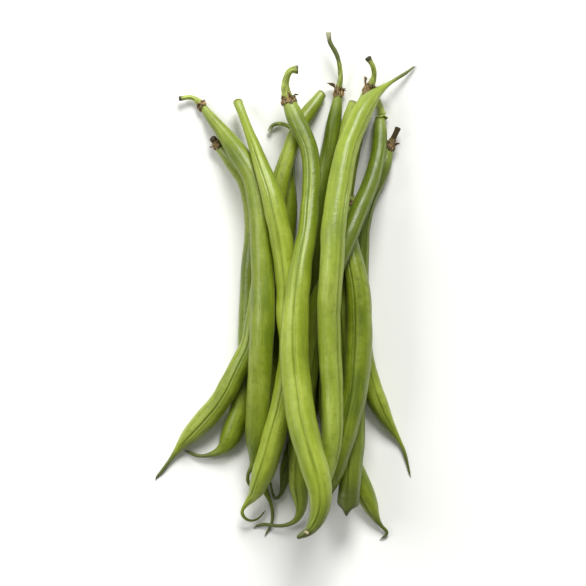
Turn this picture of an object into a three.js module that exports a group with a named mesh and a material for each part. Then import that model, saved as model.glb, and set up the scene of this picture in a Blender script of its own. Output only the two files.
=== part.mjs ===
// A bundle of thirteen green beans (snap beans) lying across each other on a flat surface.
// Millimetres. +Z is up, +Y runs along the pods, from the curled beaks to the stems.
// Each pod is one solid that grew as one piece. Each stem, with the dry calyx at its foot, is one more.
import * as THREE from "three";

const AIR = 0.3; // gap left between two pieces that touch
const POD_SIDES = 10; // flats round a pod
const STEM_SIDES = 8; // flats round a stem
const POD_RINGS = 40; // rings along a pod
const STEM_RINGS = 14; // rings along a stem
const STATIONS = 72; // places along a pod at which its height is worked out
const SAG = 1.2e-3; // how far a pod's own weight bends it between two stations
const SWEEPS = 40000; // passes over a pod while it settles
const OVER_RELAX = 1.9; // speeds up the settling
const CALYX_LENGTH = 1.7; // the dry collar between pod and stem
const CALYX_RIM = 0.25; // how far the collar stands out from the neck
const UP = new THREE.Vector3(0, 0, 1);

const SKINS = {
  pale: new THREE.Color("#a6b85a"),
  bright: new THREE.Color("#a2b83f"),
  middle: new THREE.Color("#8aa035"),
  deep: new THREE.Color("#6c8428"),
};
const STEM_GREEN = new THREE.Color("#9dab4e");

// The pods in the order they are laid down, the lowest first.
// route: plan of the centre line, stem end first. girth: [share of the length, radius].
// stem.route: plan and rise above the pod's end, starting at the calyx.
const PODS = [
  {
    name: "left_outer",
    skin: SKINS.deep,
    route: [
      [-24, 49.5], [-17, 42], [-13.5, 37], [-11, 23], [-12, 9], [-14.5, -34.5], [-19.5, -53],
      [-22.5, -57.5], [-30, -60], [-36, -58],
    ],
    girth: [[0, 1.4], [0.08, 3.5], [0.46, 3.7], [0.81, 4], [0.85, 3.7], [0.9, 1.6], [1, 0.3]],
    stem: { radius: 0.7, route: [[-24.6, 50.6, 0.1], [-26.2, 52.4, 0.9]] },
  },
  {
    name: "curly_stem",
    skin: SKINS.deep,
    route: [
      [4, 51.5], [0.5, 41.5], [0.5, 28.5], [-1, 9], [-3.5, -5], [-7, -47], [-9, -65.5],
      [-8, -70.5], [-5, -77.5], [-5, -83.5], [-7.5, -88.5],
    ],
    girth: [[0, 1.4], [0.12, 3.3], [0.6, 3.5], [0.78, 3.3], [0.92, 0.7], [1, 0.25]],
    stem: {
      radius: 0.6,
      route: [[3.7, 52.7, 0], [1.5, 55.8, 0], [-1.5, 57.2, 0.3], [-4.6, 56.7, 0.5], [-5.9, 54.3, 0.3]],
    },
  },
  {
    name: "long_stem",
    skin: SKINS.deep,
    route: [
      [18.5, 68], [15.5, 47.5], [13.5, 39], [11, 25], [10.2, 8], [9.8, -10], [9.6, -30],
      [7.6, -45], [1, -62.5], [-2.5, -75], [-4, -75.5], [-5.5, -68],
    ],
    girth: [[0, 1.4], [0.08, 2.9], [0.3, 3.5], [0.81, 3.3], [0.86, 2.8], [0.95, 0.5], [1, 0.25]],
    stem: {
      radius: 0.75,
      route: [[18.7, 69.4, 0.2], [19.2, 74.5, 1.5], [18, 81, 3.5], [15.4, 86, 5], [15, 89.5, 5.4]],
    },
  },
  {
    name: "right_tail",
    skin: SKINS.middle,
    route: [
      [29, 69], [25.5, 59], [17, 5.5], [15.5, -25], [15.2, -46], [19.5, -56.5], [24, -64],
      [33, -84], [36, -86.5], [36, -88], [33, -89.5],
    ],
    girth: [[0, 1.5], [0.06, 3], [0.75, 3.5], [0.89, 3.3], [0.96, 0.6], [1, 0.25]],
    stem: { radius: 0.8, route: [[29.8, 70.4, 0.2], [31, 74, 2], [30.5, 77.5, 4], [28.6, 80.6, 5]] },
  },
  {
    name: "right_outer",
    skin: SKINS.deep,
    route: [
      [36.5, 49], [35, 44], [27.5, 27], [26, 12.5], [26.5, -17], [29, -31.5], [35, -46.5],
      [41, -56.5], [44, -67.5],
    ],
    girth: [[0, 1.4], [0.08, 3.2], [0.16, 3.3], [0.76, 3.6], [0.9, 0.8], [1, 0.25]],
    stem: { radius: 0.95, route: [[37, 50.4, 0.2], [38.4, 53.2, 1.2], [39.6, 56, 1.8]] },
  },
  {
    name: "broken_tip",
    skin: SKINS.middle,
    route: [[24, 65], [21.5, 54.5], [19.5, 30], [21.5, -19], [24, -45], [21.5, -80.5]],
    girth: [[0, 1.3], [0.04, 2.8], [0.48, 3.5], [0.76, 3.8], [0.95, 4], [1, 2.6]],
  },
  {
    name: "left_sweep",
    skin: SKINS.middle,
    route: [
      [13, 68], [4.5, 55.5], [-3.5, 30], [-12.5, -20.5], [-16, -27.5], [-24, -41.5],
      [-38, -57.5], [-46, -68.5],
    ],
    girth: [[0, 1.2], [0.04, 2.7], [0.16, 2.7], [0.33, 3.6], [0.86, 3.8], [0.91, 1.4], [1, 0.25]],
  },
  {
    name: "right_middle",
    skin: SKINS.deep,
    route: [[23, 28.5], [22.5, 16], [25.5, -5], [24.5, -33], [12.5, -78.5], [11, -80]],
    girth: [[0, 1.4], [0.22, 4.1], [0.45, 4.7], [0.64, 4.5], [0.86, 3.3], [0.96, 0.8], [1, 0.4]],
    stem: { radius: 0.4, route: [[23, 29.8, 0.1], [23.1, 32, 0.5]] },
  },
  {
    name: "long_tail",
    skin: SKINS.middle,
    route: [
      [33.5, 59], [32, 44], [21.5, 16], [9.5, -11], [9, -17], [6, -45], [4.5, -52],
      [4.5, -70.5], [5.5, -78], [3, -83], [-2, -84.5], [-10, -84], [-11.5, -85.5],
    ],
    girth: [[0, 1.7], [0.02, 2.4], [0.27, 3.3], [0.42, 3.4], [0.83, 3.4], [0.9, 1.3], [1, 0.3]],
    stem: { radius: 0.6, route: [[33.9, 60.2, 0], [33.2, 63, 0], [32.2, 65.8, -0.4]] },
  },
  {
    name: "left_upper",
    skin: SKINS.middle,
    route: [
      [-29.5, 63.5], [-13, 41], [-10.5, 34.5], [-8, 4], [-11, -60], [-11.5, -63], [-13, -65],
      [-13.5, -69], [-11, -72],
    ],
    girth: [[0, 1.3], [0.16, 3.7], [0.46, 4], [0.52, 4.3], [0.84, 4.1], [0.95, 0.9], [1, 0.25]],
    stem: { radius: 0.6, route: [[-30.4, 64.6, 0.1], [-33, 66.4, 0.8], [-37.8, 66, 1.8]] },
  },
  {
    name: "curled_tail",
    skin: SKINS.bright,
    route: [
      [-17, 65], [-4.5, 30], [0.5, 2], [1, -12], [2, -19], [-1.5, -42.5], [-11, -73],
      [-15.5, -78.5], [-15.5, -80.5], [-12, -83], [-8, -80.5], [-7, -79],
    ],
    girth: [[0, 1.4], [0.08, 1.7], [0.19, 3.2], [0.23, 3.9], [0.49, 4.2], [0.83, 4.1], [0.92, 0.6], [1, 0.25]],
  },
  {
    name: "right_upper",
    skin: SKINS.pale,
    route: [
      [12, -73], [16, -54], [15, -8.5], [16.5, 12.5], [16.5, 19.5], [21, 46], [26.5, 60.5],
      [31.5, 67.5], [46, 77.5],
    ],
    girth: [[0, 1.5], [0.05, 3.1], [0.12, 3.8], [0.61, 4.4], [0.78, 3.8], [0.84, 3.8], [0.92, 1.1], [1, 0.25]],
    stem: { radius: 0.7, route: [[11.6, -74.4, 0], [11, -77, -0.2]] },
  },
  {
    name: "topmost",
    skin: SKINS.bright,
    route: [
      [1, 65], [3, 59.5], [8.5, 47], [8, 23], [4.5, 2], [3, -26], [5.5, -47], [12, -72.5],
      [11, -81], [7, -86.5], [4, -88],
    ],
    girth: [[0, 2.4], [0.02, 3.1], [0.23, 3.2], [0.36, 3.6], [0.54, 5.1], [0.72, 5.2], [0.85, 4.7], [0.92, 3.5], [1, 0.6]],
    stem: { radius: 0.95, route: [[0.4, 66.4, 0.2], [-0.2, 71, 1.6], [1.6, 75.6, 3.2], [4.6, 76, 3.4]] },
  },
];

/** A smooth line through points that are chosen by hand, without loops where they lie close together. */
function smoothLine(points) {
  return new THREE.CatmullRomCurve3(points, false, "centripetal");
}

/** The radius of a pod or stem at a share of its length. */
function radiusAt(girth, share) {
  const next = Math.max(1, girth.findIndex(([place]) => place >= share));
  const [from, thin] = girth[next - 1];
  const [to, thick] = girth[next];
  return THREE.MathUtils.lerp(thin, thick, THREE.MathUtils.clamp((share - from) / (to - from), 0, 1));
}

/** The lowest height of a pod's centre at each station, over the surface and the pods already laid. */
function restingFloor(places, radii, laid) {
  return places.map((place, station) => {
    let lowest = radii[station];
    for (const other of laid) {
      other.places.forEach((support, index) => {
        const reach = radii[station] + other.radii[index] + AIR;
        const apart = Math.hypot(place.x - support.x, place.y - support.y);
        if (apart < reach) lowest = Math.max(lowest, support.z + Math.sqrt(reach ** 2 - apart ** 2));
      });
    }
    return lowest;
  });
}

/** Heights of a springy pod that sinks under its own weight until it lies on its resting floor. */
function settle(floor) {
  const heights = [...floor];
  const last = heights.length - 1;
  for (let sweep = 0; sweep < SWEEPS; sweep++) {
    for (let i = 0; i <= last; i++) {
      const before = i > 0 ? heights[i - 1] : 2 * heights[0] - heights[1];
      const after = i < last ? heights[i + 1] : 2 * heights[last] - heights[last - 1];
      const farBefore = i > 1 ? heights[i - 2] : 2 * before - heights[i];
      const farAfter = i < last - 1 ? heights[i + 2] : 2 * after - heights[i];
      const level = (4 * (before + after) - farBefore - farAfter - SAG) / 6;
      const moved = heights[i] + OVER_RELAX * (level - heights[i]);
      heights[i] = Math.max(floor[i], moved);
    }
  }
  return heights;
}

/** Bends a lathed body, whose axis is Y, along a line: its own left stays level and its top looks up. */
function bend(geometry, line, length) {
  const position = geometry.getAttribute("position");
  for (let i = 0; i < position.count; i++) {
    const share = THREE.MathUtils.clamp(position.getY(i) / length, 0, 1);
    const tangent = line.getTangentAt(share);
    const right = new THREE.Vector3().crossVectors(tangent, UP).normalize();
    const top = new THREE.Vector3().crossVectors(right, tangent);
    const placed = line.getPointAt(share);
    placed.addScaledVector(right, position.getX(i));
    placed.addScaledVector(top, position.getZ(i));
    position.setXYZ(i, placed.x, placed.y, placed.z);
  }
  return geometry;
}

/** Shares of the length at which rings lie, closer together where the hand-placed points are. */
function ringShares(line, rings) {
  const lengths = line.getLengths(rings);
  const total = lengths[rings];
  return lengths.map((length, i) => (i / rings + length / total) / 2);
}

/** A closed tube with a rounded start and end, along a line. */
function taperedTube(line, girth, rings, sides) {
  const length = line.getLength();
  const profile = [new THREE.Vector2(0, 0)];
  ringShares(line, rings).forEach((share) => {
    profile.push(new THREE.Vector2(radiusAt(girth, share), share * length));
  });
  profile.push(new THREE.Vector2(0, length));
  profile[1].multiplyScalar(0.8);
  return bend(new THREE.LatheGeometry(profile, sides), line, length);
}

function mesh(name, geometry, color, roughness) {
  const made = new THREE.Mesh(geometry, new THREE.MeshStandardMaterial({ color, roughness, metalness: 0 }));
  made.name = name;
  return made;
}

/** Lays one pod on those that are down already, and returns its centre line and radii. */
function layPod({ route, girth }, laid) {
  const plan = smoothLine(route.map(([x, y]) => new THREE.Vector3(x, y, 0)));
  const places = plan.getSpacedPoints(STATIONS);
  const radii = places.map((_, station) => radiusAt(girth, station / STATIONS));
  const heights = settle(restingFloor(places, radii, laid));
  places.forEach((place, station) => place.setZ(heights[station]));
  return { places, radii };
}

/** The stem of a pod: a collar of dry calyx against the neck, then the stalk with its swollen cut end. */
function layStem({ radius, route }, end, neck) {
  const lowest = neck + CALYX_RIM;
  const line = smoothLine(
    route.map(([x, y, rise]) => new THREE.Vector3(x, y, Math.max(end.z + rise, lowest))),
  );
  const collar = CALYX_LENGTH / line.getLength();
  const girth = [
    [0, neck], [collar * 0.3, neck + CALYX_RIM], [collar, neck], [Math.min(collar * 1.6, 0.7), radius * 1.2],
    [0.85, radius], [1, radius * 1.35],
  ];
  const places = line.getSpacedPoints(STEM_RINGS);
  return { line, girth, places, radii: places.map((_, ring) => radiusAt(girth, ring / STEM_RINGS)) };
}

const bundle = new THREE.Group();
const laid = [];
for (const pod of PODS) {
  const rest = layPod(pod, laid);
  laid.push(rest);
  const body = taperedTube(smoothLine(rest.places), pod.girth, POD_RINGS, POD_SIDES);
  bundle.add(mesh("pod_" + pod.name, body, pod.skin, 0.42));
  if (!pod.stem) continue;
  const stem = layStem(pod.stem, rest.places[0], pod.girth[0][1]);
  laid.push(stem);
  const stalk = taperedTube(stem.line, stem.girth, STEM_RINGS, STEM_SIDES);
  bundle.add(mesh("stem_" + pod.name, stalk, STEM_GREEN, 0.6));
}

// The origin lies under the middle of the bundle, on the surface that it rests on.
const box = new THREE.Box3().setFromObject(bundle);
const middle = box.getCenter(new THREE.Vector3());
bundle.position.set(-middle.x, -middle.y, -box.min.z);

export default bundle;
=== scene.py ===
"""A loose bundle of green beans (snap beans), laid across each other on a pale table and seen from above.

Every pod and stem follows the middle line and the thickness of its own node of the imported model. This
script gives them their grown shape, such as the groove and lips of the suture, the swell of the seeds,
the ribs of the stalks and the withered calyxes, and dresses them.
"""

import logging
import math
from dataclasses import dataclass
from enum import Enum

import bmesh
import bpy
import numpy as np
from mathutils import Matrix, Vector


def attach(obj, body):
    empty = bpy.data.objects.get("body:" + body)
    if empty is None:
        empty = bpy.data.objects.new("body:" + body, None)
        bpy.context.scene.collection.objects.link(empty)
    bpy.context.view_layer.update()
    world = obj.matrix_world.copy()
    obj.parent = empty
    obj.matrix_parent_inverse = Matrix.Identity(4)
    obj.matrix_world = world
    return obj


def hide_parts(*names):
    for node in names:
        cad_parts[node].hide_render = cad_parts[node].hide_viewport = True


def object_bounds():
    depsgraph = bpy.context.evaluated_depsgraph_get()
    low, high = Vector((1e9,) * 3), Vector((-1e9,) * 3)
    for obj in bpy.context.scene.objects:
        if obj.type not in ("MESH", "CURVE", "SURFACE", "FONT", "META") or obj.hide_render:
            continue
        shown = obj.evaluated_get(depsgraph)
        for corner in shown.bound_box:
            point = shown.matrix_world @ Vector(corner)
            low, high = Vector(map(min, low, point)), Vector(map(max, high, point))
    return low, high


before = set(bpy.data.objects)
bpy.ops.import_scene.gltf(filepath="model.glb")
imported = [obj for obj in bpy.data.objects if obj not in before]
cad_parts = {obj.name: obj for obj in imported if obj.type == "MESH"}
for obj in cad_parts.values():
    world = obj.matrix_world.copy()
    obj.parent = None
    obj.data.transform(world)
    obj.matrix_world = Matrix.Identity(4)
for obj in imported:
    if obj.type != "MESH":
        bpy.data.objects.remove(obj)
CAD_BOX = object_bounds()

LOG = logging.getLogger("green_beans")
MM = 0.001  # metres
UP = np.array([0.0, 0.0, 1.0])
BODY = "root"
WELD = 1e-6  # metres, under which two points are one
POLE = 0.01  # share of a tube's radius under which its ring is a pole, where rounding would leave a pinhole
TURN = 2 * math.pi


class Top(Enum):
    """How a pod ends where it hung from the plant."""

    CALYX = "hidden under the withered calyx"
    CUT = "cut clean, so pale flesh shows"
    SCAR = "torn off, with a dried scar"


# ---------------------------------------------------------------------------------------------------
# Small helpers


def linear(code: str) -> tuple[float, float, float, float]:
    """Turns an sRGB hex colour into the linear values that shaders take.

    Args:
        code: The colour as "#rrggbb".

    Returns:
        Linear red, green, blue and an alpha of 1.
    """
    parts = [int(code[i : i + 2], 16) / 255 for i in (1, 3, 5)]
    r, g, b = (c / 12.92 if c <= 0.04045 else ((c + 0.055) / 1.055) ** 2.4 for c in parts)
    return (r, g, b, 1.0)


def ease(value: np.ndarray, low: float, high: float) -> np.ndarray:
    """A smooth step from 0 at low to 1 at high.

    Args:
        value: What is measured.
        low: Where the step starts.
        high: Where it ends. It may lie under low, and then the step falls.

    Returns:
        The step, from 0 to 1.
    """
    share = np.clip((value - low) / (high - low), 0, 1)
    return share * share * (3 - 2 * share)


def hermite(at: np.ndarray, knots: np.ndarray, values: np.ndarray) -> np.ndarray:
    """A smooth curve through values at uneven knots.

    Args:
        at: Where the curve is wanted.
        knots: Rising places of the known values.
        values: The known values, one row for each knot.

    Returns:
        One row for each place in at.
    """
    slopes = np.gradient(values, knots, axis=0)
    left = np.clip(np.searchsorted(knots, at) - 1, 0, len(knots) - 2)
    width = knots[left + 1] - knots[left]
    t = (at - knots[left]) / width
    if values.ndim > 1:
        t = t[:, None]
        width = width[:, None]
    rise = t * t * (3 - 2 * t)
    swing = width * t * (1 - t)
    return (
        values[left] * (1 - rise)
        + values[left + 1] * rise
        + swing * ((1 - t) * slopes[left] - t * slopes[left + 1])
    )


def blurred(values: np.ndarray, reach: float) -> np.ndarray:
    """Values at even places, smoothed along their first axis with their ends held.

    Args:
        values: The rows to smooth.
        reach: Standard deviation of the smoothing, in rows.

    Returns:
        As many rows as before.
    """
    half = min(max(1, int(3 * reach)), len(values) - 1)
    weights = np.exp(-0.5 * (np.arange(-half, half + 1) / reach) ** 2)
    weights /= weights.sum()
    columns = values.reshape(len(values), -1)
    head = 2 * columns[0] - columns[half:0:-1]
    foot = 2 * columns[-1] - columns[-2 : -half - 2 : -1]
    padded = np.vstack([head, columns, foot])
    smooth = np.column_stack([np.convolve(column, weights, "valid") for column in padded.T])
    return smooth.reshape(values.shape)


def wander(along: np.ndarray, wave: float, chance: np.random.Generator) -> np.ndarray:
    """An uneven line about zero, for the small irregularities of a grown thing.

    Args:
        along: Distances in metres.
        wave: Typical wavelength in metres.
        chance: The source of the phases.

    Returns:
        Values mostly between -1 and 1.
    """
    total = np.zeros_like(along)
    for octave in (0.61, 1.0, 1.83):
        total += np.sin(TURN * along / wave * octave + chance.uniform(0, TURN)) / (1 + octave)
    return total


# ---------------------------------------------------------------------------------------------------
# Lines read from the frame


@dataclass(frozen=True)
class Centreline:
    """The middle line of a grown piece, at even steps.

    Attributes:
        places: Points along the line, in metres.
        radii: The piece's radius at each point.
        along: Distance of each point from the stem end.
    """

    places: np.ndarray
    radii: np.ndarray
    along: np.ndarray

    @property
    def length(self) -> float:
        """The whole length in metres."""
        return float(self.along[-1])

    @classmethod
    def of_node(cls, node: str, step: float, softness: float, start: np.ndarray) -> "Centreline":
        """Reads the rings of a node, which is a round body with a pole at each end.

        Args:
            node: The node's name.
            step: Distance between two points of the line, in metres.
            softness: How far its corners are smoothed along the line, in metres.
            start: A point on the side of the end to start from.

        Returns:
            The line from one end to the other.
        """
        bm = bmesh.new()
        bm.from_mesh(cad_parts[node].data)
        bmesh.ops.remove_doubles(bm, verts=bm.verts, dist=2 * WELD)
        bm.verts.index_update()
        sides = max(len(v.link_edges) for v in bm.verts)
        pole = next(v for v in bm.verts if len(v.link_edges) == sides)
        rings = [[pole]]
        known = {pole}
        while rings[-1]:
            around = {e.other_vert(v) for v in rings[-1] for e in v.link_edges} - known
            known |= around
            rings.append(sorted(around, key=lambda v: v.index))  # a set's own order changes each run
        middles = []
        radii = []
        for ring in rings[:-1]:
            middle = sum((v.co for v in ring), Vector()) / len(ring)
            middles.append(middle)
            radii.append(sum((v.co - middle).length for v in ring) / len(ring))
        bm.free()
        if (middles[0] - Vector(start)).length > (middles[-1] - Vector(start)).length:
            middles.reverse()
            radii.reverse()
        radii[0] = radii[2]
        radii[1] = radii[2]
        radii[-1] = radii[-2]
        points = np.array(middles)
        knots = np.concatenate([[0], np.cumsum(np.linalg.norm(np.diff(points, axis=0), axis=1))])
        count = max(8, round(knots[-1] / step))
        at = np.linspace(0, knots[-1], count + 1)
        reach = softness / (knots[-1] / count)
        places = blurred(hermite(at, knots, points), reach)
        thick = np.maximum(blurred(np.interp(at, knots, radii), 2 * reach), 0.6 * min(radii))
        return cls(places, thick, at)

    def shifted(self, offsets: np.ndarray) -> "Centreline":
        """The same line moved sideways and up by small offsets along its own right and top."""
        right, top = self.sides()
        moved = self.places + right * offsets[:, :1] + top * offsets[:, 1:]
        return Centreline(moved, self.radii, self.along)

    def sides(self) -> tuple[np.ndarray, np.ndarray]:
        """Level right-hand directions and upward ones, at right angles to the line."""
        ahead = np.gradient(self.places, self.along, axis=0)
        ahead /= np.linalg.norm(ahead, axis=1)[:, None]
        right = np.cross(ahead, UP)
        right /= np.linalg.norm(right, axis=1)[:, None]
        return right, np.cross(right, ahead)


# ---------------------------------------------------------------------------------------------------
# Meshes


class Sheet:
    """A flat grid of faces whose points are then moved to where a skin has them."""

    def __init__(self, name: str, columns: int, rows: int) -> None:
        """Makes the grid.

        Args:
            name: Name of the mesh and its object.
            columns: Faces across, along u.
            rows: Faces up, along v.
        """
        self.mesh = bpy.data.meshes.new(name)
        bm = bmesh.new()
        bmesh.ops.create_grid(bm, x_segments=columns, y_segments=rows, size=1.0)
        bm.to_mesh(self.mesh)
        bm.free()
        flat = np.empty(len(self.mesh.vertices) * 3, np.float32)
        self.mesh.vertices.foreach_get("co", flat)
        flat = flat.reshape(-1, 3).astype(float)
        self.u = (flat[:, 0] + 1) / 2
        self.v = (flat[:, 1] + 1) / 2

    def place(self, points: np.ndarray) -> None:
        """Moves every point of the grid, in metres."""
        self.mesh.vertices.foreach_set("co", points.astype(np.float32).ravel())

    def mark(self, name: str, values: np.ndarray) -> None:
        """Stores a number or a vector on every point, for the materials to read."""
        vector = values.ndim > 1
        kind = "FLOAT_VECTOR" if vector else "FLOAT"
        layer = self.mesh.attributes.new(name, kind, "POINT")
        layer.data.foreach_set("vector" if vector else "value", values.astype(np.float32).ravel())

    def closed(self) -> bpy.types.Mesh:
        """Welds the grid's meeting edges and turns all faces outwards."""
        bm = bmesh.new()
        bm.from_mesh(self.mesh)
        bmesh.ops.remove_doubles(bm, verts=bm.verts, dist=WELD)
        bmesh.ops.recalc_face_normals(bm, faces=bm.faces)
        bm.to_mesh(self.mesh)
        bm.free()
        self.mesh.shade_smooth()
        return self.mesh


def above_floor(points: np.ndarray) -> np.ndarray:
    """The points with those under the table lifted onto it."""
    return np.column_stack([points[:, :2], np.maximum(points[:, 2], 0.05 * MM)])


def rounded_ends(along: np.ndarray, length: float, start: float, end: float) -> np.ndarray:
    """A factor on the radius that closes a tube with an oval cap at each end.

    Args:
        along: Distances from the start.
        length: The tube's length.
        start: Length of the first cap.
        end: Length of the last cap.

    Returns:
        1 along the tube, falling to 0 at both ends.
    """
    first = 1 - np.clip(along / start, 0, 1)
    last = 1 - np.clip((length - along) / end, 0, 1)
    closing = np.sqrt(np.maximum(0, 1 - first**2)) * np.sqrt(np.maximum(0, 1 - last**2))
    return np.where(closing < POLE, 0, closing)


def capped_stations(length: float, step: float, start: float, end: float) -> np.ndarray:
    """Distances of a tube's rings: even along the body, and closing up towards both poles.

    Args:
        length: The tube's length.
        step: Distance between two rings of the body.
        start: Length of the first cap.
        end: Length of the last cap.

    Returns:
        Rising distances from 0 to the length.
    """
    arc = 1 - np.cos(np.linspace(0, math.pi / 2, 9)[:-1])
    body = np.linspace(start, length - end, max(3, round((length - start - end) / step)))
    return np.concatenate([start * arc, body, length - end * arc[::-1]])


def finished(mesh: bpy.types.Mesh, material: bpy.types.Material, node: str | None) -> None:
    """Puts a mesh in the scene as a piece of the bundle.

    Args:
        mesh: The mesh, in the frame's metres.
        material: Its finish.
        node: The node it stands for, or None for a detail that has no node.
    """
    piece = bpy.data.objects.new(mesh.name, mesh)
    bpy.context.scene.collection.objects.link(piece)
    mesh.materials.append(material)
    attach(piece, BODY)
    if node:
        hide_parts(node)
    LOG.info("%s: %d faces", piece.name, len(mesh.polygons))


# ---------------------------------------------------------------------------------------------------
# Finishes


class Node(Enum):
    """The kinds of shader node in use.

    Each is Blender's name for it, its settings, its fixed inputs, the inputs that are then given, in
    their order, and the output that is read.
    """

    MIX = ("Mix", {"data_type": "RGBA"}, {}, (0, 6, 7), 2)
    TIMES = ("Math", {"operation": "MULTIPLY", "use_clamp": True}, {}, (0, 1), 0)
    PLUS = ("Math", {"operation": "ADD", "use_clamp": True}, {}, (0, 1), 0)
    MINUS = ("Math", {"operation": "SUBTRACT", "use_clamp": True}, {}, (0, 1), 0)
    RANGE = ("MapRange", {}, {}, ("Value", "To Min", "To Max"), 0)
    RISE = ("MapRange", {"interpolation_type": "SMOOTHSTEP"}, {}, ("Value", "From Min", "From Max"), 0)
    FALL = (
        "MapRange",
        {"interpolation_type": "SMOOTHSTEP"},
        {"To Min": 1.0, "To Max": 0.0},
        ("Value", "From Min", "From Max"),
        0,
    )
    NOISE = ("TexNoise", {}, {}, ("Vector", "Scale", "Detail"), 0)
    NEAREST = ("TexVoronoi", {}, {}, ("Vector", "Scale"), "Distance")
    LOTTERY = ("TexVoronoi", {}, {}, ("Vector", "Scale"), "Color")
    RELIEF = ("Bump", {}, {"Strength": 1.0}, ("Height", "Distance", "Normal"), 0)
    STRETCH = ("Mapping", {}, {}, ("Vector", "Location", "Scale"), 0)
    NUMBER = ("Attribute", {}, {}, (), "Fac")
    VECTOR = ("Attribute", {}, {}, (), "Vector")
    OBJECT = ("TexCoord", {}, {}, (), "Object")


class Shader:
    """A material's node tree under construction."""

    def __init__(self, name: str) -> None:
        """Starts an empty material with one principled shader.

        Args:
            name: What the real material is.
        """
        self.material = bpy.data.materials.new(name)
        self.material.use_nodes = True
        self.tree = self.material.node_tree
        self.tree.nodes.clear()
        self.surface = self.tree.nodes.new("ShaderNodeBsdfPrincipled")
        output = self.tree.nodes.new("ShaderNodeOutputMaterial")
        self.tree.links.new(self.surface.outputs[0], output.inputs["Surface"])

    def feed(self, socket: bpy.types.NodeSocket, value: object) -> None:
        """Links another node's output to a socket, or sets the socket's own value or hex colour."""
        if isinstance(value, bpy.types.NodeSocket):
            self.tree.links.new(value, socket)
        else:
            socket.default_value = linear(value) if isinstance(value, str) else value

    def add(self, kind: Node, *inputs: object, **settings: object) -> bpy.types.NodeSocket:
        """Adds a node.

        Args:
            kind: Which kind.
            *inputs: Its inputs in the kind's order, each a value, a hex colour or another node's output.
            **settings: Further properties of the node itself.

        Returns:
            Its output.
        """
        name, usual, fixed, order, output = kind.value
        node = self.tree.nodes.new("ShaderNode" + name)
        for key, value in {**usual, **settings}.items():
            setattr(node, key, value)
        for key, value in [*fixed.items(), *zip(order, inputs)]:
            self.feed(node.inputs[key], value)
        return node.outputs[output]

    def painted(
        self, colour: object, paint: object, share: object, strength: float = 1.0
    ) -> bpy.types.NodeSocket:
        """Lays a paint over a colour.

        Args:
            colour: What lies under it.
            paint: The paint.
            share: Where it is laid, from 0 to 1.
            strength: How well it covers there.

        Returns:
            The colour of both.
        """
        if strength < 1:
            share = self.add(Node.TIMES, share, strength)
        return self.add(Node.MIX, share, colour, paint)

    def finish(self, **inputs: object) -> bpy.types.Material:
        """Feeds the principled shader's inputs, named with _ for a space, and hands over the material."""
        for name, value in inputs.items():
            self.feed(self.surface.inputs[name.replace("_", " ")], value)
        return self.material


def drift(seed: float) -> tuple[float, float, float]:
    """How far a pattern is moved, so that two pieces of one finish differ."""
    return (0.013 * seed, 0.029 * seed, 0.041 * seed)


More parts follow.
